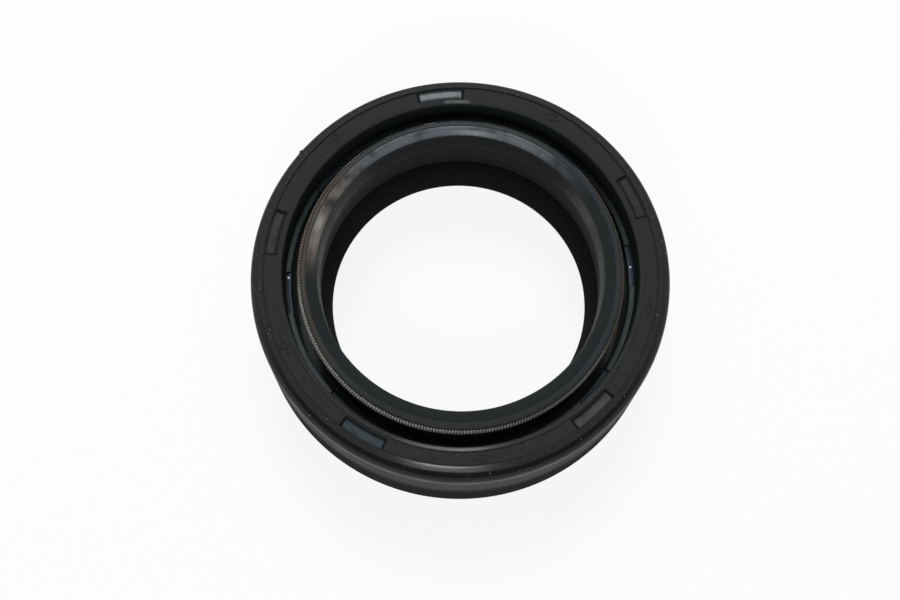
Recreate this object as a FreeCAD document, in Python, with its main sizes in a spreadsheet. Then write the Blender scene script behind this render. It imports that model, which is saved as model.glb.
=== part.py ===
import FreeCAD
import Part
import Sketcher
import math
import os

# Radial shaft seal for a 26 mm shaft in a 37 mm housing, 11 mm wide.
# The axis is Z, the back face lies on Z = 0 and the spring side looks up.

# Driving sizes in mm and degrees. A drop is measured down from the spring side.
drivingSizes = {
    "outsideDiameter": 37.0,
    "sealWidth": 11.0,
    "backChamferHeight": 0.4,
    "backChamferDepth": 0.3,
    "shoulderDrop": 1.9,
    "shoulderDepth": 0.35,
    "shoulderRadius": 0.75,
    "slopeDrop": 1.2,
    "slopeDepth": 0.5,
    "rimWidth": 0.4,
    "rimRound": 0.25,
    "faceWidth": 1.2,
    "faceStep": 0.1,
    "innerRimWidth": 0.42,
    "innerRimRound": 0.15,
    "ledgeDrop": 2.8,
    "ledgeWidth": 0.6,
    "ledgeTaper": 0.07,
    "channelTaper": 0.15,
    "channelFloorHeight": 2.6,
    "channelRound": 0.43,
    "pocketCount": 5,
    "pocketAngle": 14.4,
    "pocketPhase": 27.7,
    "pocketMargin": 0.08,
    "windowCount": 8,
    "windowAngle": 14.5,
    "windowPhase": 8.5,
    "windowDepth": 0.25,
    "caseThickness": 0.9,
    "caseInset": 0.1,
    "caseEndDrop": 0.4,
    "caseBackHeight": 0.9,
    "caseFlangeLength": 1.65,
    "caseBendRadius": 0.5,
    "rootThickness": 1.31,
    "skirtFlare": 0.19,
    "skirtRise": 1.0,
    "neckRise": 1.5,
    "neckThickness": 1.15,
    "contactDrop": 2.5,
    "contactLength": 0.3,
    "headMouth": 0.1,
    "headWidth": 1.4,
    "headRound": 0.12,
    "springCoilRadius": 0.7,
    "springCover": 0.3,
    "springTuck": 0.35,
    "springSeatGap": 0.02,
    "ridgeStep": 0.18,
    "ridgeFoot": 0.03,
    "recessDepth": 0.51,
    "recessRound": 0.42,
    "dustLipInset": 0.57,
    "dustLipLength": 0.25,
    "dustLipRise": 0.1,
    "dustLipThickness": 0.35,
    "dustRootHeight": 2.9,
    "undercutHeight": 1.2,
    "undercutRound": 0.3,
    "backOpeningInset": 0.48,
}


class Size:
    # A number together with the sheet expression that gives it.
    def __init__(self, value, text):
        self.value = value
        self.text = text

    def __add__(self, other):
        other = asSize(other)
        return Size(self.value + other.value, "(" + self.text + " + " + other.text + ")")

    def __sub__(self, other):
        other = asSize(other)
        return Size(self.value - other.value, "(" + self.text + " - " + other.text + ")")

    def __mul__(self, other):
        other = asSize(other)
        return Size(self.value * other.value, self.text + " * " + other.text)

    def __truediv__(self, other):
        other = asSize(other)
        return Size(self.value / other.value, self.text + " / " + other.text)


def asSize(item):
    if isinstance(item, Size):
        return item
    return Size(float(item), str(item))


def size(alias):
    return Size(float(drivingSizes[alias]), "sizes." + alias)


def makeSheet(doc):
    sheet = doc.addObject("Spreadsheet::Sheet", "sizes")
    sheet.Label = "sizes"
    for row, (alias, number) in enumerate(drivingSizes.items(), start=1):
        sheet.set("A" + str(row), alias)
        sheet.set("B" + str(row), str(number))
        sheet.setAlias("B" + str(row), alias)
    doc.recompute()
    return sheet


def originPlane(body, role):
    for feature in body.Origin.OriginFeatures:
        if feature.Role == role:
            return feature
    raise RuntimeError("no plane " + role)


def arcBetween(start, end, radius, side):
    # Centre of the arc of this radius from start to end, on the left for side 1.
    dx = end[0] - start[0]
    dz = end[1] - start[1]
    chord = math.hypot(dx, dz)
    rise = math.sqrt(max(radius * radius - chord * chord / 4, 0.0))
    centreX = (start[0] + end[0]) / 2 - side * rise * dz / chord
    centreZ = (start[1] + end[1]) / 2 + side * rise * dx / chord
    centre = FreeCAD.Vector(centreX, centreZ, 0)
    circle = Part.Circle(centre, FreeCAD.Vector(0, 0, 1), radius)
    first = math.atan2(start[1] - centreZ, start[0] - centreX)
    last = math.atan2(end[1] - centreZ, end[0] - centreX)
    if side > 0:
        return Part.ArcOfCircle(circle, first, last)
    return Part.ArcOfCircle(circle, last, first)


def bind(sketch, constraint, expression):
    index = sketch.addConstraint(constraint)
    sketch.setExpression("Constraints[" + str(index) + "]", expression)


def pinCorner(sketch, geometry, end, radius, height):
    # Places one corner of a half section at its radius and height.
    bind(sketch, Sketcher.Constraint("DistanceX", -1, 1, geometry, end, radius.value), radius.text)
    if height.value == 0:
        sketch.addConstraint(Sketcher.Constraint("PointOnObject", geometry, end, -1))
    else:
        bind(sketch, Sketcher.Constraint("DistanceY", -1, 1, geometry, end, height.value), height.text)


def halfSection(body, name, corners, turn=None):
    # A closed outline beside the Z axis. Each corner is (radius, height), or
    # (radius, height, arc radius, side) where an arc leads on to the next corner.
    sketch = body.newObject("Sketcher::SketchObject", name)
    sketch.AttachmentSupport = (originPlane(body, "XZ_Plane"), [""])
    sketch.MapMode = "FlatFace"
    if turn is not None:
        spin = FreeCAD.Rotation(FreeCAD.Vector(0, 1, 0), turn.value)
        sketch.AttachmentOffset = FreeCAD.Placement(FreeCAD.Vector(0, 0, 0), spin)
        sketch.setExpression("AttachmentOffset.Rotation.Angle", turn.text)
    corners = [tuple(asSize(item) for item in corner) for corner in corners]
    ends = []
    for number, corner in enumerate(corners):
        follower = corners[(number + 1) % len(corners)]
        start = (corner[0].value, corner[1].value)
        end = (follower[0].value, follower[1].value)
        if len(corner) == 2:
            first = FreeCAD.Vector(start[0], start[1], 0)
            last = FreeCAD.Vector(end[0], end[1], 0)
            geometry = sketch.addGeometry(Part.LineSegment(first, last), False)
            ends.append((geometry, 1, 2))
            continue
        side = corner[3].value
        arc = arcBetween(start, end, corner[2].value, side)
        geometry = sketch.addGeometry(arc, False)
        bind(sketch, Sketcher.Constraint("Radius", geometry, corner[2].value), corner[2].text)
        ends.append((geometry, 1, 2) if side > 0 else (geometry, 2, 1))
    for number, (geometry, first, last) in enumerate(ends):
        nextGeometry, nextFirst, nextLast = ends[(number + 1) % len(ends)]
        sketch.addConstraint(Sketcher.Constraint("Coincident", geometry, last, nextGeometry, nextFirst))
        pinCorner(sketch, geometry, first, corners[number][0], corners[number][1])
    return sketch


def revolve(body, name, sketch):
    feature = body.newObject("PartDesign::Revolution", name)
    feature.Profile = sketch
    feature.ReferenceAxis = (sketch, ["V_Axis"])
    feature.Angle = 360
    return feature


def cutAround(body, name, sketch, angle=None):
    # A groove right round the axis, or over one angle centred on its sketch.
    feature = body.newObject("PartDesign::Groove", name)
    feature.Profile = sketch
    feature.ReferenceAxis = (sketch, ["V_Axis"])
    feature.Angle = 360
    if angle is not None:
        feature.Midplane = True
        feature.Angle = angle.value
        feature.setExpression("Angle", angle.text)
    return feature


def repeatAround(body, name, feature, sketch, count):
    pattern = body.newObject("PartDesign::PolarPattern", name)
    pattern.Originals = [feature]
    pattern.Axis = (sketch, ["V_Axis"])
    pattern.Angle = 360
    pattern.Occurrences = int(count.value)
    pattern.setExpression("Occurrences", count.text)
    body.Tip = pattern
    return pattern


# Radii and heights that several outlines share, from the outside inwards.
outsideRadius = size("outsideDiameter") / 2
faceHeight = size("sealWidth")
shoulderHeight = faceHeight - size("shoulderDrop")
slopeRadius = outsideRadius - size("shoulderDepth")
slopeHeight = faceHeight - size("slopeDrop")
rimRadius = slopeRadius - size("slopeDepth")
faceOuterRadius = rimRadius - size("rimWidth")
faceInnerRadius = faceOuterRadius - size("faceWidth")
cavityRadius = faceInnerRadius - size("innerRimWidth")
stepHeight = faceHeight - size("faceStep")
ledgeHeight = faceHeight - size("ledgeDrop")
ledgeOuterRadius = cavityRadius - size("ledgeTaper")
ledgeInnerRadius = ledgeOuterRadius - size("ledgeWidth")
channelOuterRadius = ledgeInnerRadius - size("channelTaper")
channelRadius = channelOuterRadius - size("channelRound")
channelInnerRadius = channelRadius - size("channelRound")
channelBendHeight = size("channelFloorHeight") + size("channelRound")

# The case leg stands under the face, where its end shows in the pockets.
caseOuterRadius = faceOuterRadius - size("caseInset")
caseLegRadius = caseOuterRadius - size("caseThickness")
caseInnerRadius = caseLegRadius - size("caseFlangeLength")
caseEndHeight = faceHeight - size("caseEndDrop")
caseFloorHeight = size("caseBackHeight") + size("caseThickness")
caseOuterBend = size("caseBendRadius") + size("caseThickness")

# The lip hangs on the web at the channel bottom, and the spring on the lip's head.
skirtRadius = channelInnerRadius - size("rootThickness")
contactRadius = skirtRadius - size("skirtFlare")
neckRadius = skirtRadius + size("neckThickness")
headInnerRadius = contactRadius + size("headMouth")
headOuterRadius = headInnerRadius + size("headWidth")
headEdgeRadius = headOuterRadius + size("headRound")
contactTop = faceHeight - size("contactDrop")
contactBottom = contactTop - size("contactLength")
springRadius = headEdgeRadius - size("springTuck")
springHeight = faceHeight - size("springCover") - size("springCoilRadius")
seatRadius = size("springCoilRadius") + size("springSeatGap")
ridgeRadius = headEdgeRadius + size("ridgeStep")
ridgeHeight = springHeight - seatRadius - size("ridgeFoot")

# The dust lip shares the web with the sealing lip, under the recess between them.
recessRadius = skirtRadius + size("recessDepth")
recessGap = size("recessRound") * 1.9
skirtHeight = size("dustRootHeight") + recessGap + size("skirtRise")
neckHeight = skirtHeight + size("neckRise")
dustLipRadius = contactRadius - size("dustLipInset")
backOpeningRadius = channelRadius - size("backOpeningInset")
webMiddle = (size("dustRootHeight") + size("undercutHeight")) / 2


def caseOutline():
    # L section: a leg along the outside and a flange turned in at the back.
    return [
        (caseInnerRadius, size("caseBackHeight")),
        (caseOuterRadius - caseOuterBend, size("caseBackHeight"), caseOuterBend, 1),
        (caseOuterRadius, size("caseBackHeight") + caseOuterBend),
        (caseOuterRadius, caseEndHeight),
        (caseLegRadius, caseEndHeight),
        (caseLegRadius, caseFloorHeight + size("caseBendRadius"), size("caseBendRadius"), -1),
        (caseLegRadius - size("caseBendRadius"), caseFloorHeight),
        (caseInnerRadius, caseFloorHeight),
    ]


def coverOutline():
    # Outer ring: back chamfer, outside wall, shoulder, sloped edge, rim, face and ledge.
    return [
        (backOpeningRadius, 0),
        (outsideRadius - size("backChamferDepth"), 0),
        (outsideRadius, size("backChamferHeight")),
        (outsideRadius, shoulderHeight, size("shoulderRadius"), 1),
        (slopeRadius, slopeHeight),
        (rimRadius, faceHeight - size("rimRound"), size("rimRound"), 1),
        (rimRadius - size("rimRound"), faceHeight),
        (faceOuterRadius, faceHeight),
        (faceOuterRadius, stepHeight),
        (faceInnerRadius, stepHeight),
        (faceInnerRadius, faceHeight),
        (cavityRadius + size("innerRimRound"), faceHeight, size("innerRimRound"), 1),
        (cavityRadius, faceHeight - size("innerRimRound")),
        (ledgeOuterRadius, ledgeHeight),
        (ledgeInnerRadius, ledgeHeight),
        (channelOuterRadius, channelBendHeight, size("channelRound"), -1),
        (channelRadius, size("channelFloorHeight")),
        (backOpeningRadius, size("channelFloorHeight")),
    ]


def lipOutline():
    # Sealing lip: channel bottom, neck, ridge, head, contact band, skirt and recess.
    return [
        (channelRadius, webMiddle),
        (channelRadius, size("channelFloorHeight"), size("channelRound"), -1),
        (channelInnerRadius, channelBendHeight),
        (neckRadius, neckHeight),
        (ridgeRadius, ridgeHeight),
        (ridgeRadius, springHeight),
        (headEdgeRadius, springHeight),
        (headEdgeRadius, faceHeight - size("headRound"), size("headRound"), 1),
        (headOuterRadius, faceHeight),
        (headInnerRadius + size("headRound"), faceHeight, size("headRound"), 1),
        (headInnerRadius, faceHeight - size("headRound")),
        (contactRadius, contactTop),
        (contactRadius, contactBottom),
        (skirtRadius, skirtHeight),
        (recessRadius, size("dustRootHeight") + recessGap, size("recessRound"), -1),
        (recessRadius, size("dustRootHeight")),
        (recessRadius, webMiddle),
    ]


def dustLipOutline():
    # Dust lip: a thin cone from the web down to its contact band at the back.
    undercutRound = size("undercutRound")
    return [
        (dustLipRadius, size("dustLipRise")),
        (dustLipRadius + size("dustLipThickness"), size("dustLipRise")),
        (backOpeningRadius - undercutRound, size("undercutHeight"), undercutRound, -1),
        (backOpeningRadius, size("undercutHeight") - undercutRound),
        (channelRadius, size("undercutHeight") - undercutRound),
        (channelRadius, size("channelFloorHeight")),
        (recessRadius, size("dustRootHeight")),
        (dustLipRadius, size("dustLipRise") + size("dustLipLength")),
    ]


def makeBody(doc, name):
    body = doc.addObject("PartDesign::Body", name)
    body.Label = name
    body.Placement = FreeCAD.Placement()
    return body


def makeSteelCase(doc):
    body = makeBody(doc, "steel_case")
    revolve(body, "caseRing", halfSection(body, "caseSection", caseOutline()))
    return body


def makeElastomer(doc):
    body = makeBody(doc, "elastomer_body")
    revolve(body, "coverRing", halfSection(body, "coverSection", coverOutline()))
    revolve(body, "lipRing", halfSection(body, "lipSection", lipOutline()))
    revolve(body, "dustLipRing", halfSection(body, "dustLipSection", dustLipOutline()))
    cutSpringSeat(body)
    cutAround(body, "caseBed", halfSection(body, "caseBedSection", caseOutline()))
    cutPockets(body)
    cutWindows(body)
    return body


def cutSpringSeat(body):
    # The seat is round, a named gap larger than the coil that lies in it.
    sketch = body.newObject("Sketcher::SketchObject", "springSeatSection")
    sketch.AttachmentSupport = (originPlane(body, "XZ_Plane"), [""])
    sketch.MapMode = "FlatFace"
    centre = FreeCAD.Vector(springRadius.value, springHeight.value, 0)
    circle = Part.Circle(centre, FreeCAD.Vector(0, 0, 1), seatRadius.value)
    geometry = sketch.addGeometry(circle, False)
    bind(sketch, Sketcher.Constraint("Radius", geometry, seatRadius.value), seatRadius.text)
    pinCorner(sketch, geometry, 3, springRadius, springHeight)
    cutAround(body, "springSeat", sketch)


def cutPockets(body):
    # Shallow pockets in the face that reach down to the end of the case leg.
    inner = caseLegRadius - size("pocketMargin")
    outer = caseOuterRadius + size("pocketMargin")
    outline = [(inner, caseEndHeight), (outer, caseEndHeight), (outer, faceHeight), (inner, faceHeight)]
    sketch = halfSection(body, "pocketSection", outline, size("pocketPhase"))
    pocket = cutAround(body, "pocket", sketch, size("pocketAngle"))
    repeatAround(body, "pockets", pocket, sketch, size("pocketCount"))


def cutWindows(body):
    # Shallow windows in the ledge, open to the cavity.
    low = ledgeHeight - size("windowDepth")
    inner = channelOuterRadius
    outline = [(inner, low), (ledgeOuterRadius, low), (ledgeOuterRadius, ledgeHeight), (inner, ledgeHeight)]
    sketch = halfSection(body, "windowSection", outline, size("windowPhase"))
    window = cutAround(body, "window", sketch, size("windowAngle"))
    repeatAround(body, "windows", window, sketch, size("windowCount"))


def makeSpring(doc):
    # The garter spring is a closed coil, so its envelope is a ring of round section.
    spring = doc.addObject("Part::Torus", "garter_spring")
    spring.Label = "garter_spring"
    spring.setExpression("Radius1", springRadius.text)
    spring.setExpression("Radius2", size("springCoilRadius").text)
    spring.setExpression("Placement.Base.z", springHeight.text)
    return spring


def checkDocument(doc):
    for item in doc.Objects:
        if "Invalid" in item.State or "Error" in item.State:
            raise RuntimeError(item.Label + " did not compute")


def exportPieces(pieces):
    os.makedirs("parts", exist_ok=True)
    for piece in pieces:
        shape = piece.Shape
        if shape.isNull() or not shape.isValid():
            raise RuntimeError(piece.Label + " has no valid shape")
        if len(shape.Solids) != 1:
            raise RuntimeError(piece.Label + " is not one solid")
        shape.exportStep("parts/" + piece.Label + ".step")
        print(piece.Label, "volume", round(shape.Volume, 2), "mm3")


doc = FreeCAD.newDocument("shaftSeal")
makeSheet(doc)
pieces = [makeSteelCase(doc), makeElastomer(doc), makeSpring(doc)]
doc.recompute()
checkDocument(doc)
exportPieces(pieces)
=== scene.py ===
import bpy
import math
import numpy as np
from mathutils import Matrix, Vector


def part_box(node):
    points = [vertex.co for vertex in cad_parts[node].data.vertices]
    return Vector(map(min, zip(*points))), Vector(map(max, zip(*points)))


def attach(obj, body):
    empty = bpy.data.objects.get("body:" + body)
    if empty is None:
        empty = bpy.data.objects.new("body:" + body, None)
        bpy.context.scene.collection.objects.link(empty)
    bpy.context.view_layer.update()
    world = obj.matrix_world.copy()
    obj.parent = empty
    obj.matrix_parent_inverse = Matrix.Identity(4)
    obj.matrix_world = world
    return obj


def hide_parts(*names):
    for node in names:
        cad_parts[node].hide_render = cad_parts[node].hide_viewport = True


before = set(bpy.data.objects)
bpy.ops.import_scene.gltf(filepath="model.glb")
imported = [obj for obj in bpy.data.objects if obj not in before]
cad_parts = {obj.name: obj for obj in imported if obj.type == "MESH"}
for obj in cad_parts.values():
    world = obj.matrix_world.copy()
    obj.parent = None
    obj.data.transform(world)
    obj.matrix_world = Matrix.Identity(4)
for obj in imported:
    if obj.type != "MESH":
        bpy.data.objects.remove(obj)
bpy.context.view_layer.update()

mm = 0.001
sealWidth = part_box("elastomer_body")[1].z
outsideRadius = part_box("elastomer_body")[1].x


# Camera and view

cameraSet = {
    "tilt": 17.37,              # degrees from the axis, towards -Y
    "turn": 3.55,               # degrees about the line of sight
    "distance": 125.0 * mm,     # from the middle of the face
    "focalPixels": 1433.0,      # focal length where the image is 900 pixels wide
    "imageSize": (900, 600),
    "facePixel": (460.9, 269.6),
    "sensor": 36.0,
    "clipStart": 5 * mm,
}


def turnAbout(axis, angle):
    # Rotation matrix: identity, plus sine times the axis cross matrix, plus the rest times its square.
    x, y, z = axis
    cross = np.array([[0, -z, y], [z, 0, -x], [-y, x, 0]])
    return np.eye(3) + math.sin(angle) * cross + (1 - math.cos(angle)) * cross @ cross


def makeCamera():
    # Looks at the face from the tilt, then turns so that the face's middle falls on its pixel.
    tilt = math.radians(cameraSet["tilt"])
    place = cameraSet["distance"] * np.array([0, -math.sin(tilt), math.cos(tilt)])
    forward = -place / np.linalg.norm(place)
    right = np.array([1.0, 0, 0])
    straight = np.array([right, np.cross(forward, right), forward])
    width, height = cameraSet["imageSize"]
    offset = np.array(cameraSet["facePixel"]) - (width / 2, height / 2)
    ray = np.append(offset / cameraSet["focalPixels"], 1.0)
    ray = ray / np.linalg.norm(ray)
    swing = np.cross([0, 0, 1], ray)
    angle = math.asin(np.linalg.norm(swing))
    aimed = turnAbout(swing / np.linalg.norm(swing), angle) @ straight
    rows = turnAbout(ray, math.radians(cameraSet["turn"])) @ aimed
    camera = bpy.data.objects.new("photoCamera", bpy.data.cameras.new("photoCamera"))
    bpy.context.scene.collection.objects.link(camera)
    camera.data.sensor_width = cameraSet["sensor"]
    camera.data.lens = cameraSet["focalPixels"] / width * cameraSet["sensor"]
    camera.data.clip_start = cameraSet["clipStart"]
    matrix = np.eye(4)
    matrix[:3, 0] = rows[0]
    matrix[:3, 1] = -rows[1]
    matrix[:3, 2] = -rows[2]
    matrix[:3, 3] = place + (0, 0, sealWidth)
    camera.matrix_world = Matrix(matrix.tolist())
    bpy.context.scene.camera = camera


# Surfaces

def smoothStep(low, high, value):
    # Zero below low, one above high, and the smooth cubic three x squared less two x cubed between.
    x = np.clip((value - low) / (high - low), 0, 1)
    return x * x * (3 - 2 * x)


def gridQuads(index):
    # One face for each square of the grid of point numbers.
    corners = [index[:-1, :-1], index[1:, :-1], index[1:, 1:], index[:-1, 1:]]
    return np.stack(corners, axis=-1).reshape(-1, 4)


def addPiece(name, points, faces):
    # A smooth-shaded object of these points, which are in metres.
    mesh = bpy.data.meshes.new(name)
    mesh.from_pydata(points.reshape(-1, 3), [], faces)
    mesh.shade_smooth()
    piece = bpy.data.objects.new(name, mesh)
    bpy.context.scene.collection.objects.link(piece)
    return piece


def meshFromGrid(name, points):
    # Joins each grid point with the next row's and the next column's, both ways round to the first.
    rows, columns = points.shape[:2]
    index = np.arange(rows * columns).reshape(rows, columns)
    index = np.vstack([index, index[:1]])
    index = np.hstack([index, index[:, :1]])
    return addPiece(name, points, gridQuads(index))


def addAttribute(piece, name, values):
    # Keeps one number for each point, for the material to read.
    attribute = piece.data.attributes.new(name, "FLOAT", "POINT")
    attribute.data.foreach_set("value", np.ascontiguousarray(values, dtype=np.float32).ravel())


outlineSet = {
    "arcPoints": 4,             # on a small rounding, and twice as many on a broad one
    "broadRounding": 0.2,       # mm
    "longest": 1.1,             # longest straight step in mm
    "straight": 89.0,           # half the corner's angle in degrees from which it counts as straight
}


def roundedOutline(corners):
    # Closed outline through (radius, height, rounding, sheen) corners. Each rounding is an arc between
    # the two points that lie the rounding over the tangent of half the corner before and after it.
    # A sheen belongs to its corner's arc and fades along the straight run to the next.
    points = []
    count = len(corners)
    for number in range(count):
        before = np.array(corners[number - 1][:2])
        here = np.array(corners[number][:2])
        after = np.array(corners[(number + 1) % count][:2])
        rounding, sheen = corners[number][2:]
        toBefore = (before - here) / np.linalg.norm(before - here)
        toAfter = (after - here) / np.linalg.norm(after - here)
        half = math.acos(np.clip(np.dot(toBefore, toAfter), -1, 1)) / 2
        if rounding == 0 or half > math.radians(outlineSet["straight"]):
            points.append([[*here, sheen]])
            continue
        reach = rounding / math.tan(half)
        middle = (toBefore + toAfter) / np.linalg.norm(toBefore + toAfter)
        centre = here + middle * rounding / math.sin(half)
        start = here + toBefore * reach - centre
        end = here + toAfter * reach - centre
        turn = math.atan2(start[0] * end[1] - start[1] * end[0], np.dot(start, end))
        steps = outlineSet["arcPoints"] * (1 if rounding < outlineSet["broadRounding"] else 2)
        angles = np.linspace(0, turn, steps)
        points.append(np.stack([
            centre[0] + start[0] * np.cos(angles) - start[1] * np.sin(angles),
            centre[1] + start[0] * np.sin(angles) + start[1] * np.cos(angles),
            np.full(steps, sheen),
        ], axis=-1))
    outline = np.vstack(points)
    following = np.roll(outline, -1, axis=0)
    gaps = np.linalg.norm((following - outline)[:, :2], axis=1)
    filled = []
    for point, follower, gap in zip(outline, following, gaps):
        steps = max(1, math.ceil(gap / outlineSet["longest"]))
        filled.append(point + (follower - point) * np.arange(steps)[:, None] / steps)
    return np.vstack(filled)


rubberSizes = {                 # radii and heights in mm, heights from the back face
    "backOpening": 13.9,
    "chamferHeight": 0.4,
    "chamferDepth": 0.3,
    "dullHeight": 4.8,          # the wall is dull up to here
    "glossHeight": 6.3,         # and shines from here
    "glossTop": 8.7,
    "shoulderHeight": 9.1,
    "shoulderRise": 0.7,        # the shoulder's corner before it is rounded
    "shoulderRound": 0.65,
    "slopeRadius": 18.05,
    "slopeHeight": 9.95,
    "slopeHollow": 17.8,        # the slope sags inwards to this radius
    "hollowHeight": 10.12,
    "rimStart": 17.31,          # the rim falls outwards from here
    "rimRadius": 17.64,
    "rimFall": 0.21,
    "rimRound": 0.13,
    "faceOuter": 17.25,
    "faceInner": 16.05,
    "faceStep": 0.1,
    "cavityRadius": 15.63,
    "cavityDraft": 0.02,
    "cavityDrop": 0.4,          # the wall of the cavity starts this far below the face
    "innerStart": 15.97,        # the inner rim falls towards the axis from here
    "innerFall": 0.08,
    "innerRound": 0.1,
    "ledgeHeight": 8.2,
    "ledgeOuter": 15.56,
    "ledgeInner": 15.09,
    "ledgeDraft": 0.01,
    "channelOuter": 14.93,
    "channelInner": 13.95,
    "channelFloor": 2.6,
    "channelRound": 0.42,
    "neckRadius": 13.79,
    "neckHeight": 6.2,
    "neckRound": 1.5,
    "ridgeRadius": 14.25,
    "ridgeHeight": 9.25,
    "seatRadius": 13.72,
    "seatHeight": 10.0,
    "seatRound": 0.72,
    "seatPoints": 22,
    "headEdge": 14.07,
    "headRound": 0.3,
    "headOuter": 13.6,
    "headGroove": 0.035,
    "headLean": 0.14,           # the head's edge leans this far out, most at the lean's angle
    "leanAngle": -60,
    "leanLeast": 0.35,          # share of the lean at right angles to that
    "leanStart": 10.45,
    "leanEnd": 10.65,
    "headMouth": 12.55,
    "headSlope": 0.1,
    "trimOuter": 0.01,          # how far the trimmed face reaches past the head's ends
    "trimInner": 0.02,
    "trimDepth": 1.6,           # times the slope, below the face
    "mouthDraft": 0.005,
    "mouthDrop": 0.12,
    "contactRadius": 12.45,
    "contactTop": 8.5,
    "contactBottom": 8.2,
    "skirtRadius": 12.64,
    "skirtHeight": 4.7,
    "recessTop": 3.75,
    "recessBottom": 2.85,
    "recessRadius": 13.45,
    "recessMouth": 13.1,
    "dustRadius": 11.88,
    "dustRise": 0.1,
    "dustLength": 0.25,
    "dustThickness": 0.35,
    "undercutHeight": 1.2,
    "edge": 0.04,               # rounding of an edge that the mould leaves sharp
    "pocketInner": 16.17,
    "pocketOuter": 17.2,
    "pocketFloor": 10.57,
    "windowFloor": 7.95,
    "windowOuter": 15.5,
    "windowLip": 0.02,
    "pocket": {"count": 5, "angle": 14.4, "phase": 27.7},
    "window": {"count": 8, "angle": 14.5, "phase": 8.5},
    "wallSoftness": 0.22,       # degrees over which a pocket's end wall drops
    "wallSteps": [-1.0, -0.5, -0.2, 0.2, 0.5, 1.0],
    "turnSteps": 216,
    "nibAngle": 144.8,          # a crumb of flash left on the outer edge
    "nibWidth": 0.55,
    "nibSteps": 9,
    "nibHeight": 9.9,
    "nibLength": 0.5,
    "nibReach": 0.17,
}


def seatArc(size):
    # Points on the spring seat's circle, from the ridge round the inside to the head's edge.
    first = 2 * math.pi - math.acos((size["ridgeRadius"] - size["seatRadius"]) / size["seatRound"])
    last = math.acos((size["headEdge"] - size["seatRadius"]) / size["seatRound"])
    angles = np.linspace(first, last, size["seatPoints"])
    radii = size["seatRadius"] + size["seatRound"] * np.cos(angles)
    heights = size["seatHeight"] + size["seatRound"] * np.sin(angles)
    return [(radius, height, 0, 0.4) for radius, height in zip(radii, heights)]


def rubberOutline(size):
    # Half section of the rubber, anticlockwise from the back opening: radius, height, rounding, sheen.
    top = sealWidth / mm
    outside = outsideRadius / mm
    edge = size["edge"]
    face = top - size["faceStep"]
    ledge = size["ledgeHeight"]
    cover = [
        (size["backOpening"], 0, 0.1, 0.2),
        (outside - size["chamferDepth"], 0, 0.15, 0.2),
        (outside, size["chamferHeight"], 0.2, 0),
        (outside, size["dullHeight"], 0, 0),
        (outside, size["glossHeight"], 0, 0.22),
        (outside, size["glossTop"], 0, 0.24),
        (outside, size["shoulderHeight"] + size["shoulderRise"], size["shoulderRound"], 0.8),
        (size["slopeRadius"], size["slopeHeight"], 0.3, 0),
        (size["slopeHollow"], size["hollowHeight"], 0.12, 0),
        (size["rimRadius"], top - size["rimFall"], size["rimRound"], 0.9),
        (size["rimStart"], top, size["rimRound"], 1),
        (size["faceOuter"], top, edge, 0.8),
        (size["faceOuter"], face, edge / 2, 0),
        (size["pocketOuter"], face, 0, 0),
        (size["pocketOuter"] - edge, face, 0, 0.1),
        (size["pocketInner"] + edge, face, 0, 0.1),
        (size["pocketInner"], face, 0, 0.1),
        (size["faceInner"], face, edge / 2, 0.1),
        (size["faceInner"], top, edge, 0.8),
        (size["innerStart"], top, 0.2, 0.95),
        (size["cavityRadius"] + size["cavityDraft"], top - size["innerFall"], size["innerRound"], 0.9),
        (size["cavityRadius"], top - size["cavityDrop"], 0, 0),
        (size["ledgeOuter"], ledge, edge, 0.3),
        (size["windowOuter"], ledge, 0, 0.65),
        (size["windowOuter"] - edge, ledge, 0, 0.65),
        (size["ledgeInner"], ledge, edge * 2, 0.3),
        (size["ledgeInner"] - size["ledgeDraft"], size["windowFloor"] + size["windowLip"], 0, 0.2),
        (size["channelOuter"], size["channelFloor"], size["channelRound"], 0),
        (size["channelInner"], size["channelFloor"], size["channelRound"], 0),
        (size["neckRadius"], size["neckHeight"], size["neckRound"], 0.2),
        (size["ridgeRadius"], size["ridgeHeight"], edge, 0.3),
    ]
    groove = size["headGroove"]
    mouth = top - size["headSlope"]
    head = [
        (size["headEdge"], top, size["headRound"], 0.6),
        (size["headOuter"], top, edge, 0.25),
        (size["headOuter"] - groove, top - groove, edge / 2, 0.1),
        (size["headOuter"] - groove * 2, top, edge, 0.9),
        (size["headMouth"], mouth, edge, 0.9),
        (size["headMouth"] - size["mouthDraft"], mouth - size["mouthDrop"], 0, 0.4),
        (size["contactRadius"], size["contactTop"], edge, 0.45),
        (size["contactRadius"], size["contactBottom"], edge, 0.2),
        (size["skirtRadius"], size["skirtHeight"], 0.1, 0),
        (size["recessMouth"], size["recessTop"], 0.1, 0),
        (size["recessRadius"], (size["recessTop"] + size["recessBottom"]) / 2, 0.3, 0),
        (size["recessMouth"], size["recessBottom"], 0.1, 0),
        (size["dustRadius"], size["dustRise"] + size["dustLength"], edge, 0.1),
        (size["dustRadius"], size["dustRise"], edge, 0.1),
        (size["dustRadius"] + size["dustThickness"], size["dustRise"], edge, 0.2),
        (size["backOpening"], size["undercutHeight"], 0.3, 0.1),
    ]
    return roundedOutline(cover + seatArc(size) + head)


def nearestOffset(angles, count, phase):
    # Angle in degrees from the nearest of count places that start at phase.
    pitch = 360 / count
    return np.abs((angles - phase + pitch / 2) % pitch - pitch / 2)


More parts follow.
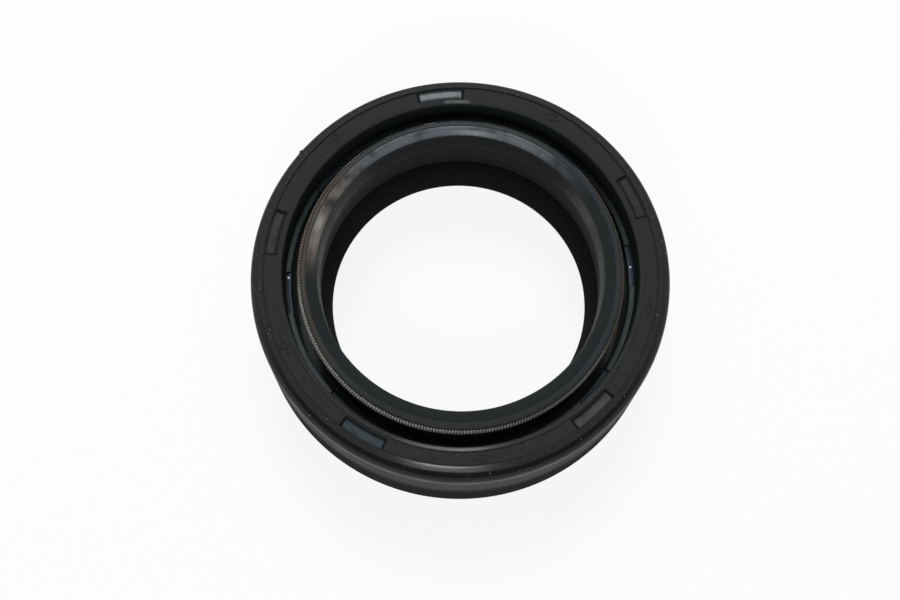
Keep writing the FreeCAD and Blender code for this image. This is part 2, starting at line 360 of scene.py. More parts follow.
def rubberAngles(size):
    # Even steps round the axis, with more of them at each end wall of a pocket or window.
    near = np.array(size["wallSteps"]) * size["wallSoftness"]
    steps = [np.arange(size["turnSteps"]) * 360 / size["turnSteps"]]
    for place in (size["pocket"], size["window"]):
        middles = place["phase"] + np.arange(place["count"]) * 360 / place["count"]
        ends = (middles[:, None] + np.array([-0.5, 0.5]) * place["angle"]).ravel()
        steps.append((ends[:, None] + near).ravel() % 360)
    steps.append(size["nibAngle"] + np.linspace(-2, 2, size["nibSteps"]) * size["nibWidth"])
    return np.unique(np.round(np.concatenate(steps) % 360, 3))


def openingShare(size, place, angles):
    # One at the angles inside an opening, with a smooth fall across its end walls.
    half = size["wallSoftness"] / 2
    end = place["angle"] / 2
    return 1 - smoothStep(end - half, end + half, nearestOffset(angles, place["count"], place["phase"]))


def outwardShift(size, radius, height, angles):
    # The crumb of flash, a bell curve of angle and height, plus the lean of the head's edge.
    around = (angles - size["nibAngle"]) / size["nibWidth"]
    up = (height - size["nibHeight"]) / size["nibLength"]
    nib = size["nibReach"] * np.exp(-around ** 2 - up ** 2) * (radius > size["rimRadius"])
    onHead = (radius > size["headOuter"]) & (radius < size["headEdge"] + size["edge"])
    swing = np.cos(np.radians(angles - size["leanAngle"]))
    swing = np.maximum(size["leanLeast"] + (1 - size["leanLeast"]) * swing, 0)
    lean = smoothStep(size["leanStart"], size["leanEnd"], height) * onHead * swing
    return nib + lean * size["headLean"]


def trimmedFace(size, radius, height):
    # One on the lip's knife-trimmed top, between the groove in the head and its mouth.
    outer = size["headOuter"] - size["headGroove"] * 2 + size["trimOuter"]
    inner = size["headMouth"] - size["trimInner"]
    low = sealWidth / mm - size["headSlope"] * size["trimDepth"]
    return (radius < outer) & (radius > inner) & (height > low)


def makeRubber(material):
    # The outline swept round the axis: radius times cosine and sine, plus the outward shift. A point
    # of a pocket's or window's top sinks by its height above the floor there.
    size = rubberSizes
    outline = rubberOutline(size)
    radius, height, sheen = outline[:, :1], outline[:, 1:2], outline[:, 2:]
    angles = rubberAngles(size)[None, :]
    half = size["edge"] / 2
    inPocket = (radius > size["pocketInner"] + half) & (radius < size["pocketOuter"] - half)
    inPocket = inPocket & (height > sealWidth / mm - 2 * size["faceStep"])
    inPocket = inPocket * openingShare(size, size["pocket"], angles)
    inWindow = (radius > size["channelOuter"]) & (radius < size["windowOuter"] - half)
    inWindow = inWindow & (height > size["windowFloor"]) & (height < size["ledgeHeight"] + size["edge"])
    inWindow = inWindow * openingShare(size, size["window"], angles)
    drop = inPocket * np.maximum(height - size["pocketFloor"], 0)
    drop = drop + inWindow * np.maximum(height - size["windowFloor"], 0)
    turn = np.radians(angles)
    wide = np.ones_like(turn)
    reach = radius + outwardShift(size, radius, height, angles)
    points = np.stack([reach * np.cos(turn), reach * np.sin(turn), height * wide - drop], axis=-1) * mm
    piece = meshFromGrid("rubberSkin", points)
    addAttribute(piece, "sheen", sheen * wide)
    addAttribute(piece, "windowFloor", inWindow)
    addAttribute(piece, "trimmed", trimmedFace(size, radius, height) * wide)
    piece.data.materials.append(material)
    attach(piece, "root")
    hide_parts("elastomer_body")
    print("rubber skin:", len(piece.data.polygons) * 2, "triangles")


springSizes = {
    "ringRadius": 13.72,
    "height": 10.0,
    "coilRadius": 0.7,
    "wire": 0.23,               # wire diameter
    "wireShare": 0.98,          # of the wire's radius, so that no two turns touch
    "turns": 338,
    "pointsPerTurn": 14,
    "pointsAround": 6,
}


def makeSpring(material):
    # Helix closed on itself: the coil's angle is its turns times the ring's angle. The wire's
    # section is a circle across the helix's own direction.
    size = springSizes
    count = size["turns"] * size["pointsPerTurn"]
    ring = np.arange(count) * 2 * math.pi / count
    coil = ring * size["turns"]
    mean = size["coilRadius"] - size["wire"] / 2
    outward = np.stack([np.cos(ring), np.sin(ring), 0 * ring], axis=-1)
    along = np.stack([-np.sin(ring), np.cos(ring), 0 * ring], axis=-1)
    up = np.array([0, 0, 1.0])
    spoke = outward * np.cos(coil)[:, None] + up * np.sin(coil)[:, None]
    centre = outward * size["ringRadius"] + up * size["height"] + spoke * mean
    around = np.arange(size["pointsAround"]) * 2 * math.pi / size["pointsAround"]
    across = spoke[:, None] * np.cos(around)[None, :, None]
    beside = along[:, None] * np.sin(around)[None, :, None]
    wire = size["wire"] / 2 * size["wireShare"]
    points = centre[:, None] + wire * (across + beside)
    piece = meshFromGrid("springCoil", points * mm)
    piece.data.materials.append(material)
    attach(piece, "root")
    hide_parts("garter_spring")
    print("spring coil:", len(piece.data.polygons) * 2, "triangles")


# Shader maths

def line(pair, value):
    # The first number of the pair plus the value times the second.
    return pair[0] + value * pair[1]


def operator(operation, reflected=False):
    # A method that adds the Math node, its two values the other way round where it is reflected.
    def apply(self, other):
        first, second = (other, self) if reflected else (self, other)
        return self.shader.maths(operation, first, second)
    return apply


class Maths:
    # Wraps one value socket, so that an expression on values adds its Math nodes.

    def __init__(self, shader, socket):
        self.shader = shader
        self.socket = socket

    __add__ = operator("ADD")
    __radd__ = operator("ADD", True)
    __sub__ = operator("SUBTRACT")
    __rsub__ = operator("SUBTRACT", True)
    __mul__ = operator("MULTIPLY")
    __rmul__ = operator("MULTIPLY", True)
    __truediv__ = operator("DIVIDE")
    __pow__ = operator("POWER")


class Shader:
    # A material whose nodes are added one call at a time, and the look that holds its numbers. Place
    # comes from Object coordinates, in mm: the radius is the root of x squared plus y squared. The
    # angle round the axis is in half turns, from -1 to 1.

    def __init__(self, name, look):
        self.look = look
        self.material = bpy.data.materials.new(name)
        self.material.use_nodes = True
        self.tree = self.material.node_tree
        self.surface = self.tree.nodes["Principled BSDF"]
        self.coords = self.add("ShaderNodeTexCoord", {}, {}, "Object")
        split = self.tree.nodes.new("ShaderNodeSeparateXYZ")
        self.tree.links.new(self.coords.socket, split.inputs[0])
        x, y, z = [Maths(self, output) for output in split.outputs]
        self.radius = (x * x + y * y) ** 0.5 / mm
        self.angle = self.maths("ARCTAN2", y, x) / math.pi
        self.x, self.y, self.height = x / mm, y / mm, z / mm

    def add(self, kind, settings, values, output=0):
        # One node of any kind: its settings, then its inputs, wrapped at the output asked for.
        node = self.tree.nodes.new(kind)
        for key, value in settings.items():
            if key == "stops":
                self.setStops(node.color_ramp, value)
            else:
                setattr(node, key, value)
        for key, value in values.items():
            self.feed(node.inputs[key], value)
        return Maths(self, node.outputs[output])

    def setStops(self, ramp, stops):
        # Each colour holds from its place to the next.
        while len(ramp.elements) < len(stops):
            ramp.elements.new(1.0)
        for element, (place, colour) in zip(ramp.elements, stops):
            element.position = place
            element.color = (*colour, 1)
        ramp.interpolation = "CONSTANT"

    def feed(self, socket, value):
        # Links a wrapped socket, or sets a plain number or colour.
        if isinstance(value, Maths):
            self.tree.links.new(value.socket, socket)
        elif hasattr(socket.default_value, "__len__") and len(socket.default_value) == 4:
            socket.default_value = (*value, 1) if len(value) == 3 else value
        else:
            socket.default_value = value

    def maths(self, operation, *values):
        # One Math node on one or two values.
        return self.add("ShaderNodeMath", {"operation": operation}, dict(enumerate(values)))

    def noise(self, name):
        # The look's noise of that name, from 0 to 1, at the object's own coordinates.
        return self.noiseAt(self.coords, *self.look["noises"][name])

    def noiseAt(self, where, scale, detail, roughness):
        # Noise from 0 to 1 at the point where, times the scale.
        values = {"Vector": where, "Scale": scale, "Detail": detail, "Roughness": roughness}
        return self.add("ShaderNodeTexNoise", {}, values, "Fac")

    def drawnOut(self, name, *coordinates):
        # Noise at the point made of these coordinates, each times a scale of its own.
        detail, roughness, scales = self.look["drawnOut"][name]
        values = {number: value * scales[number] for number, value in enumerate(coordinates)}
        return self.noiseAt(self.add("ShaderNodeCombineXYZ", {}, values), 1, detail, roughness)

    def mask(self, value, low, high, soft=None):
        # Zero below low, one above high and smooth between, or one less that where low is the higher.
        # With a softness it is a band: the mask up at low times the mask down at high.
        if soft is not None:
            return self.mask(value, low - soft, low + soft) * self.mask(value, high + soft, high - soft)
        if low > high:
            return 1 - self.mask(value, high, low)
        settings = {"interpolation_type": "SMOOTHSTEP", "clamp": True}
        values = {"Value": value, "From Min": low, "From Max": high}
        return self.add("ShaderNodeMapRange", settings, values, "Result")

    def zone(self, value, name):
        # The mask of the value by the look's limits of that name.
        return self.mask(value, *self.look["zones"][name])

    def area(self, name):
        # The product of the look's masks of that name, each of the coordinate that it begins with.
        total = None
        for coordinate, *limits in self.look["areas"][name]:
            mask = self.mask(getattr(self, coordinate), *limits)
            total = mask if total is None else total * mask
        return total

    def mix(self, factor, first, second):
        # The first colour times one less the factor, plus the second times the factor.
        settings = {"data_type": "RGBA", "clamp_factor": True}
        return self.add("ShaderNodeMix", settings, {0: factor, 6: first, 7: second}, 2)

    def tint(self, colour, factor, name):
        # The colour, mixed with the look's colour of that name.
        return self.mix(factor, colour, self.look[name])

    def attribute(self, name):
        # The piece's own number of that name at each point.
        return self.add("ShaderNodeAttribute", {"attribute_name": name}, {}, "Fac")

    def bump(self, height):
        # Tilts the normal by the slope of the height times the look's relief.
        values = {"Height": height, "Distance": self.look["relief"], "Strength": 1.0}
        return self.add("ShaderNodeBump", {}, values, "Normal")

    def finish(self, **sockets):
        # Feeds the surface, whose constants come from the look.
        for name, value in {**self.look["constants"], **sockets}.items():
            self.feed(self.surface.inputs[name], value)
        return self.material


rubberAreas = {                 # masks in mm, and of the angle in half turns; three numbers make a band
    "outside": [("radius", 17.2, 17.35)],
    "side": [("radius", 17.85, 17.95)],
    "south": [("angle", -0.57, -0.43, 0.05)],
    "recess": [("radius", 13.6, 13.5), ("height", 4.75, 4.6)],
    "beyondBore": [("radius", 12.75, 12.9)],
    "belowTop": [("height", 10.88, 10.8)],
    "boreLow": [("height", 8.1, 5.5)],
    "contact": [("height", 8.4, 9.2, 0.1)],
    "belowContact": [("height", 7.2, 8.3, 0.1)],
    "skirt": [("height", 6.6, 5.1)],
    "bottom": [("height", 3.2, 0.4)],
    # painted shade: a dark line just inside the outer rim, stronger in the north
    "seam": [("radius", 17.14, 17.28, 0.03), ("height", 10.8, 10.97, 0.03)],
    "seamNorth": [("y", 2, 12)],
    # painted shade on the cavity's wall, but for the south
    "cavity": [("radius", 15.5, 15.66, 0.03), ("height", 10.85, 10.55), ("y", -10, -5)],
    # painted shade on the slope below the outer rim, most in the south
    "slope": [("radius", 17.74, 18.12, 0.05), ("height", 9.86, 10.68, 0.05)],
    "slopeNorth": [("y", -14, -4)],
    "slopeTop": [("height", 9.62, 9.9)],
    # painted shade at the foot of the outside wall, darker towards the floor, where it is also rougher
    "foot": [("radius", 18.1, 18.4), ("height", 6.4, 3.8)],
    "scuff": [("height", 9.5, 10.6)],
    "ledge": [("radius", 15.06, 15.52, 0.03), ("height", 7.9, 8.25, 0.03)],
    "ledgeSouth": [("y", -7.5, -10.5)],
    # painted light in the channel behind the lip
    "channel": [("radius", 13.72, 15.04, 0.04), ("height", 2, 8.25, 0.4)],
    "oilEast": [("x", -12.6, -8.5)],
    "smear": [("y", -2.5, 2.5), ("radius", 12.56, 12.76)],
    "crest": [("radius", 13.5, 13.6), ("radius", 14.3, 14.2), ("height", 10.3, 10.5)],
    "crestNorth": [("y", 4, 11)],
    "northRub": [("angle", 0.46, 0.525, 0.03), ("radius", 12.72, 13.12, 0.07)],
    "westRub": [("angle", 0.9, 0.928, 0.015), ("radius", 12.95, 13.45, 0.12)],
    "flecks": [("radius", 13.35, 13.05), ("x", -5, 0)],
    "flash": [("angle", 0.503, 0.547, 0.006), ("radius", 15.76, 16.05, 0.05), ("height", 10.8, 10.88)],
    "glint": [("height", 7.85, 8.3, 0.03)],
    "specksLow": [("height", 8.5, 5)],
    "rims": [("radius", 15.55, 15.65), ("height", 10.3, 10.5)],
    "coatSouth": [("y", 2, -12)],
    "coatEast": [("x", 5, 11)],
    "coatNorth": [("y", 2, 10)],
    "gloss": [("radius", 13.3, 12.95)],
    "mouth": [("radius", 12.7, 12.6)],
}

rubberShares = {                # how far each tint goes, or its least and what the area adds
    "worn": (0.35, 0.2), "scuff": 0.6,
    # painted shade in the bore by depth, below the contact band and at the skirt; a painted highlight on
    # the contact band
    "bore": (0.62, 0.33), "contact": 0.22,
    "belowContact": 0.5, "skirt": 0.92,
    "seam": (0.35, 0.4), "cavity": 0.85,
    "slope": 0.95, "slopeNorth": 0.8,
    "foot": 0.92, "ledge": 0.7,
    "ledgeStreak": 0.32, "trim": 0.85,
    "smearSlant": 0.6, "smear": 0.85,
    "scratches": 0.7, "crest": (0.22, 0.2),
    "rubbed": (0.3, 0.5, 0.5), "flecks": 0.5,
    "flash": 0.62, "windowEnds": 6,
    "specks": (0.3, 0.5), "speckLimit": (0.73, -0.025),
    "speckWall": 0.75,
}

rubberLook = {
    # painted shade for the bore, the line inside the outer rim, the slope below the rim and the foot of
    # the outside wall
    "deep": (0.005, 0.006, 0.0058),
    "dull": (0.0185, 0.02, 0.0196),
    "plain": (0.0252, 0.0272, 0.0267),
    # wear and painted light: the lighter outside wall, and the painted highlight on the band that touches
    # the shaft
    "worn": (0.034, 0.0352, 0.0335),
    # painted light: the channel behind the lip, far paler than the rubber so that its shade is less deep
    "channel": (0.13, 0.145, 0.135),
    # painted shade, near black, for the skirt of the bore and the end walls of the windows
    "pit": (0.0006, 0.0008, 0.0006),
    "bottom": (0.0095, 0.0095, 0.0075),
    "trim": (0.0085, 0.0115, 0.0125),
    "ledge": (0.03, 0.044, 0.046),
    # painted shade on the cavity's wall, but for the south
    "cavity": (0.006, 0.0095, 0.009),
    # oil film and painted reflection on the lip's trimmed top, brown in the west and blue elsewhere
    "oilBlue": (0.032, 0.044, 0.056),
    "oilBrown": (0.082, 0.062, 0.046),
    # pale blue: scratches on the trimmed top, which show only where the painted reflection is, and the
    # painted highlight on the ledge
    "scratch": (0.11, 0.13, 0.15),
    # pale: rubbed places and flecks on the lip, also painted highlights, and the painted highlight on the
    # inner rim
    "rubbed": (0.2, 0.215, 0.225),
    "glint": (0.7, 0.72, 0.75),
    "glints": [(-15.28, -0.8, 0.13), (15.14, 2.18, 0.12)],      # x, y and radius of the painted glints in the windows
    "glintCore": 0.3,
    "bareBlue": (0.036, 0.052, 0.068),
    "dust": (0.21, 0.21, 0.19),
    "scuff": (0.046, 0.048, 0.047),
    "roughness": 0.72,
    "relief": 0.012 * mm,
    "constants": {"Specular IOR Level": 0.08, "Coat Roughness": 0.27},
    "noises": {                 # scale, detail and roughness
        "cloud": (330, 3, 0.5), "mottle": (2600, 3, 0.6),
        "grain": (9500, 2, 0.5), "scuff": (170, 2, 0.5),
        "smear": (420, 3, 0.5), "specks": (5200, 1, 0.4),
        "swarms": (900, 2, 0.5),
    },
    "drawnOut": {               # detail, roughness and the scale of each coordinate
        "streaks": (4, 0.75, (9, 70, 1)),
        "scratches": (4, 0.75, (28, 45)),
        "flecks": (3, 0.7, (11, 150, 1)),
        "rings": (2, 0.6, (18, 3)),
    },
    "areas": rubberAreas,
    "zones": {                  # of noises, and of x squared and the smear's slant in mm
        "mottle": (0.25, 0.72), "cloud": (0.3, 0.7),
        "flank": (40, 120), "streaks": (0.58, 0.74),
        "scuff": (0.46, 0.62), "smear": (0.18, 0.6),
        "smearSlant": (0, 10), "scratches": (0.55, 0.72),
        "flecks": (0.52, 0.66), "flashStreaks": (0.3, 0.62),
        "windowCloud": (0.25, 0.5), "speckEdge": (0, 0.04),
        "swarms": (0.46, 0.6),
    },
    "shares": rubberShares,
    "roughen": {"mottle": 0.3, "foot": 0.28, "wall": 0.1},
    "depths": {"grain": 0.35, "mottle": 0.45, "rings": 0.1, "scratches": 0.9, "trim": 0.4},
    "coats": {
        "plain": (0.55, 0.7),
        "window": 0.12,
        "windowLoss": 0.6,
        "rimLoss": 0.86,
        "rimGain": (-0.3, 1.1),
        "wallLoss": 0.75,
        "crestLoss": {"coatSouth": 0.6, "coatEast": 0.6, "coatNorth": 0.5},
        "trim": 0.06,
        "gloss": (0.44, 0.5),
        "mouth": 0.2,
        "scratches": (0.55, 0.9),
    },
}


class RubberShader(Shader):
    # The black rubber. A tint is a mix by its area times its share.

    def __init__(self):
        super().__init__("blackRubber", rubberLook)
        self.share = self.look["shares"]
        self.trimmed = self.attribute("trimmed")
        self.window = self.attribute("windowFloor")
        self.cloud = self.noise("cloud")
        self.mottle = self.noise("mottle")
        self.streaks = self.drawnOut("streaks", self.radius, self.angle, self.height)
        self.scratches = self.drawnOut("scratches", self.radius, self.angle)
        self.outside = self.area("outside")
        self.side = self.area("side")
        self.flank = self.zone(self.x * self.x, "flank")
        self.foot = self.area("foot")
        self.crest = self.area("crest")
        self.bore = 1 - self.area("beyondBore") * (1 - self.area("recess"))
        self.wall = self.bore * self.area("belowTop")
        slant = self.zone(self.y - self.x * self.share["smearSlant"], "smearSlant")
        self.smear = self.zone(self.noise("smear"), "smear") * slant * self.area("smear")

    def paintGround(self):
        # Mottled black, lighter on the outside wall, partly wear and partly painted light, and scuffed in
        # streaks on the rims.
        mottle = self.zone(self.mottle, "mottle")
        colour = self.mix(mottle, self.look["dull"], self.look["plain"])
        worn = self.side * line(self.share["worn"], self.zone(self.cloud, "cloud"))
        colour = self.tint(colour, worn, "worn")
        scuff = self.zone(self.streaks, "streaks") * self.zone(self.noise("scuff"), "scuff")
        return self.tint(colour, scuff * self.area("scuff") * self.share["scuff"], "scuff")

    def paintBore(self, colour):
        # Painted shade: dark, and darker with depth, darker below the band that touches the shaft and
        # darkest at the skirt. That band is lighter, a painted highlight, and the bore is browner towards
        # the bottom.
        shade = line(self.share["bore"], self.area("boreLow"))
        colour = self.tint(colour, self.wall * shade, "deep")
        for name, tone in (("contact", "worn"), ("belowContact", "deep"), ("skirt", "pit")):
            colour = self.tint(colour, self.wall * self.area(name) * self.share[name], tone)
        return self.tint(colour, self.wall * self.area("bottom"), "bottom")

    def paintFace(self, colour):
        # Painted shade: a dark line inside the outer rim, most in the north, the cavity's wall but for
        # the south, the slope below the rim, most in the south, and the foot of the outside wall, darker
        # towards the floor.
        seam = self.area("seam") * line(self.share["seam"], self.area("seamNorth"))
        colour = self.tint(colour, seam, "deep")
        colour = self.tint(colour, self.area("cavity") * self.share["cavity"], "cavity")
        slope = self.area("slope") * (1 - self.area("slopeNorth") * self.share["slopeNorth"])
        return self.tint(colour, slope * self.share["slope"] + self.foot * self.share["foot"], "deep")

    def paintLedge(self, colour):
        # The ledge, with a painted highlight on it in the south-west and south-east, and the channel
        # behind the lip, painted lighter so that its shade is less deep.
        ledge = self.area("ledge")
        colour = self.tint(colour, ledge * self.share["ledge"], "ledge")
        # painted highlight on the ledge in the south-west and south-east
        southLedgeGlare = ledge * self.flank * self.area("ledgeSouth")
        colour = self.tint(colour, southLedgeGlare * self.share["ledgeStreak"], "scratch")
        return self.tint(colour, self.area("channel"), "channel")

    def paintLip(self, colour):
        # The trimmed top: where the smear is, mostly to the north, an oil film's tint that is also a
        # painted reflection, from brown in the west to blue, with scratches that show only there; the
        # crest tinted the same at the sides and in the north, a painted reflection; and rubbed places,
        # also painted highlights, with flecks.
        trimmed, smear = self.trimmed, self.smear
        colour = self.tint(colour, trimmed * self.share["trim"], "trim")
        oil = self.mix(self.area("oilEast"), self.look["oilBrown"], self.look["oilBlue"])
        colour = self.mix(trimmed * smear * self.share["smear"], colour, oil)
        scratches = trimmed * self.zone(self.scratches, "scratches")
        colour = self.tint(colour, scratches * smear * self.share["scratches"], "scratch")
        # painted reflection on the crest, at the sides and in the north
        flank, north = self.share["crest"]
        crest = self.crest * (self.flank * flank + self.area("crestNorth") * north)
        colour = self.mix(crest, colour, oil)
        flecks = self.drawnOut("flecks", self.radius, self.angle, self.height)
        flecks = self.zone(flecks, "flecks") * self.area("flecks")
        # rubbed places in the north and west of the trimmed top, also painted highlights
        least, lines, spots = self.share["rubbed"]
        rubbed = trimmed * (self.area("northRub") + self.area("westRub"))
        rubbed = rubbed * (least + self.scratches * lines + flecks * spots)
        colour = self.tint(colour, rubbed, "rubbed")
        return self.tint(colour, trimmed * smear * flecks * self.share["flecks"], "rubbed")

    def paintWindows(self, colour):
        # A painted highlight on the inner rim, blue window floors whose end walls get painted shade,
        # where the share of the window times one less it is high, and a painted glint at each spot.
        # painted highlight on the inner rim in the north
        flash = self.area("flash") * self.zone(self.streaks, "flashStreaks")
        colour = self.tint(colour, flash * self.share["flash"], "rubbed")
        colour = self.tint(colour, self.window * self.zone(self.cloud, "windowCloud"), "bareBlue")
        # painted shade along the end walls of the windows
        colour = self.tint(colour, self.window * (1 - self.window) * self.share["windowEnds"], "pit")
        # painted glints: two bright spots on the window floors
        for spotX, spotY, reach in self.look["glints"]:
            away = (self.x - spotX) * (self.x - spotX) + (self.y - spotY) * (self.y - spotY)
            spot = self.mask(away, reach ** 2, reach ** 2 * self.look["glintCore"])
            colour = self.tint(colour, spot * self.area("glint"), "glint")
        return colour

    def paintDust(self, colour):
        # Specks where the fine noise passes a limit, in swarms, and fewer low on the outside wall.
        above = self.noise("specks") - line(self.share["speckLimit"], self.outside)
        specks = self.zone(above, "speckEdge") * self.zone(self.noise("swarms"), "swarms")
        specks = specks * (1 - self.side * self.area("specksLow") * self.share["speckWall"])
        specks = specks * line(self.share["specks"], self.outside)
        return self.tint(colour, specks * (1 - self.bore), "dust")

    def surfaceRoughness(self):
        # The plain roughness plus the mottle about its mean, and more at the foot and in the bore.
        part = self.look["roughen"]
        rough = self.look["roughness"] + (self.mottle - 0.5) * part["mottle"]
        return rough + self.foot * part["foot"] + self.wall * part["wall"]

    def surfaceRelief(self):
        # Grain and mottle outside the bore, rings all over, and scratches on the trimmed top.
        part = self.look["depths"]
        rings = self.drawnOut("rings", self.radius, self.height)
        relief = self.noise("grain") * part["grain"] + self.mottle * part["mottle"]
        relief = relief * (1 - self.wall) + rings * part["rings"]
        return relief + self.trimmed * (self.scratches * part["scratches"] - part["trim"])

    def surfaceCoat(self):
        # The sheen times the cloud, less in windows, on rims but for the south, in the bore and on the
        # crest, plus the smear's gloss times the scratches on the trimmed top.
        part = self.look["coats"]
        coat = self.attribute("sheen") * line(part["plain"], self.cloud - 0.5)
        coat = coat * (1 - self.trimmed) * (1 - self.window * part["windowLoss"])
        coat = coat + self.window * part["window"]
        rims, south = self.area("rims"), self.area("south")
        coat = coat * (1 - rims * (1 - south) * part["rimLoss"])
        coat = coat * (1 + rims * south * line(part["rimGain"], self.outside))
        coat = coat * (1 - self.side * self.area("slopeTop"))
        coat = coat * (1 - self.wall * (1 - self.flank) * part["wallLoss"])
        for name, loss in part["crestLoss"].items():
            coat = coat * (1 - self.crest * self.area(name) * loss)
        gloss = line(part["gloss"], self.area("gloss"))
        mouth = self.flank * self.area("mouth") * part["mouth"]
        film = self.trimmed * (part["trim"] + self.smear * gloss + mouth)
        return self.mask(coat + film * line(part["scratches"], self.scratches), 0, 1)


def rubberMaterial():
    # Each paint goes over the one before it.
    shader = RubberShader()
    colour = shader.paintGround()
    for paint in (shader.paintBore, shader.paintFace, shader.paintLedge, shader.paintLip):
        colour = paint(colour)
    colour = shader.paintDust(shader.paintWindows(colour))
    return shader.finish(**{
        "Base Color": colour,
        "Roughness": shader.surfaceRoughness(),
        "Coat Weight": shader.surfaceCoat(),
        "Normal": shader.bump(shader.surfaceRelief()),
    })


caseLook = {
    "tones": [                  # painted reflection on the coat from -180 degrees on, one for each pocket
        (0.0, (0.013, 0.0145, 0.0125)),
        (0.077, (0.022, 0.034, 0.042)),
        (0.277, (0.04, 0.041, 0.038)),
        (0.477, (0.008, 0.01, 0.01)),
        (0.677, (0.088, 0.1, 0.108)),
        (0.877, (0.013, 0.0145, 0.0125)),
    ],
    # soot for the blots, and painted shade at the pocket's edges
    "soot": (0.002, 0.0024, 0.0024),
    "sootShare": 0.5,
    "roughness": 0.45,
    "roughScratch": 0.35,
    "roughEdge": 0.4,
    "metal": 0.3,
    "relief": 0.012 * mm,
    "blotDepth": 0.8,
    "constants": {"Specular IOR Level": 0.16},
    "noises": {"blot": (1100, 4, 0.5), "scratch": (5200, 2, 0.5)},
    "zones": {
        "blot": (0.42, 0.7),
        "pocketEnd": (6.2, 6.7),        # degrees from the middle of a pocket
    },
    "areas": {"inner": [("radius", 16.65, 16.2)], "outer": [("radius", 17.1, 17.18)]},
}


def caseMaterial():
    # Each pocket's tone, a painted reflection, with blots of soot. The edge is the largest of three
    # zones: the pocket's end, by the angle from its middle, and its inner and outer wall, and it gets
    # painted shade. The tone is looked up by the angle over a whole turn.
    look = caseLook
    shader = Shader("coatedSteel", look)
    blot = shader.noise("blot")
    scratch = shader.noise("scratch")
    turned = {"Fac": shader.angle * 0.5 + 0.5}
    tone = shader.add("ShaderNodeValToRGB", {"stops": look["tones"]}, turned, "Color")
    colour = shader.tint(tone, shader.zone(blot, "blot") * look["sootShare"], "soot")
    pocket = rubberSizes["pocket"]
    pitch = 360 / pocket["count"]
    turns = shader.angle * (180 / pitch) - pocket["phase"] / pitch + 0.5
    offset = shader.maths("ABSOLUTE", shader.maths("FRACT", turns) - 0.5) * pitch
    edge = shader.maths("MAXIMUM", shader.area("inner"), shader.area("outer"))
    edge = shader.maths("MAXIMUM", edge, shader.zone(offset, "pocketEnd"))
    roughness = look["roughness"] + (scratch - 0.5) * look["roughScratch"] + edge * look["roughEdge"]
    return shader.finish(**{
        # painted shade at the pocket's edges
        "Base Color": shader.tint(colour, edge, "soot"),
        "Metallic": (1 - edge) * look["metal"],
        "Roughness": roughness,
        "Normal": shader.bump(scratch + blot * look["blotDepth"]),
    })


springLook = {
    "steel": (0.84, 0.83, 0.8),
    "tan": (0.36, 0.27, 0.2),
    # grease and painted shade below the level
    "grease": (0.05, 0.034, 0.026),
    # oil tint and painted shade over the spring in the north
    "oil": (0.022, 0.025, 0.029),
    "roughness": 0.27,
    "roughFilm": 0.15,
    "metal": 0.7,
    "tanFilm": 0.25,
    "tanSides": 0.7,
    "eastShift": 4,             # mm further south that the tan reaches in the east
    # painted shade on the steel in the south-east
    "eastGrease": 0.35,
    "levelDrop": 0.35,          # mm lower that the grease and painted shade stand at the sides of the ring
    "showThrough": 0.06,
    "constants": {"Specular IOR Level": 0.12},
    "noises": {"film": (380, 3, 0.5), "cover": (900, 2, 0.5)},
    "zones": {
        "film": (0.42, 0.68),
        "tanSouth": (-4.5, -0.5),
        "sides": (130, 50),             # of y squared
        "cover": (0.64, 0.6),
        "level": (10, 10.3),
    },
    "areas": {
        "east": [("x", -2, 8)],
        "tan": [("y", 12, 8)],
        "grease": [("y", -4, -11)],
        "north": [("y", 8.5, 11)],
    },
}


def springMaterial():
    # Steel shows above a level, below which is grease and painted shade, tanned by a film and at the
    # sides, and in the north a dark oil tint, painted shade, covers it but for gaps. The bare share is
    # the zone of the level times one less the cover.
    look = springLook
    shader = Shader("springWire", look)
    film = shader.zone(shader.noise("film"), "film")
    east = shader.area("east")
    sides = shader.zone(shader.y + east * look["eastShift"], "tanSouth") * shader.area("tan")
    steel = shader.mix(film * look["tanFilm"] + sides * look["tanSides"], look["steel"], look["tan"])
    steel = shader.tint(steel, east * shader.area("grease") * look["eastGrease"], "grease")
    level = shader.height + shader.zone(shader.y * shader.y, "sides") * look["levelDrop"]
    north = shader.area("north")
    under = shader.mix(1 - north, look["oil"], look["grease"])
    # painted shade over the spring in the north, but for gaps
    northShade = north * shader.zone(shader.noise("cover"), "cover")
    bare = shader.zone(level, "level") * (1 - northShade)
    show = look["showThrough"]
    return shader.finish(**{
        "Base Color": shader.mix(show + bare * (1 - show), under, steel),
        "Metallic": look["metal"] * bare,
        "Roughness": look["roughness"] + film * look["roughFilm"],
    })


markSizes = {
    "places": [63.7, 135.7, 207.7, 279.7, 351.7],     # degrees round the axis
    "radius": 16.65,
    "ringRadius": 0.32,
    "dotRadius": 0.06,
    "line": 0.085,              # half width of a raised line
    "rise": 0.095,
    "sink": 0.02,               # how far a mark reaches into the face
    "spacing": 2.4,             # degrees from the ring to each dot
    "acrossPoints": 7,
    "aroundPoints": 20,
    "sheen": 0.4,
}


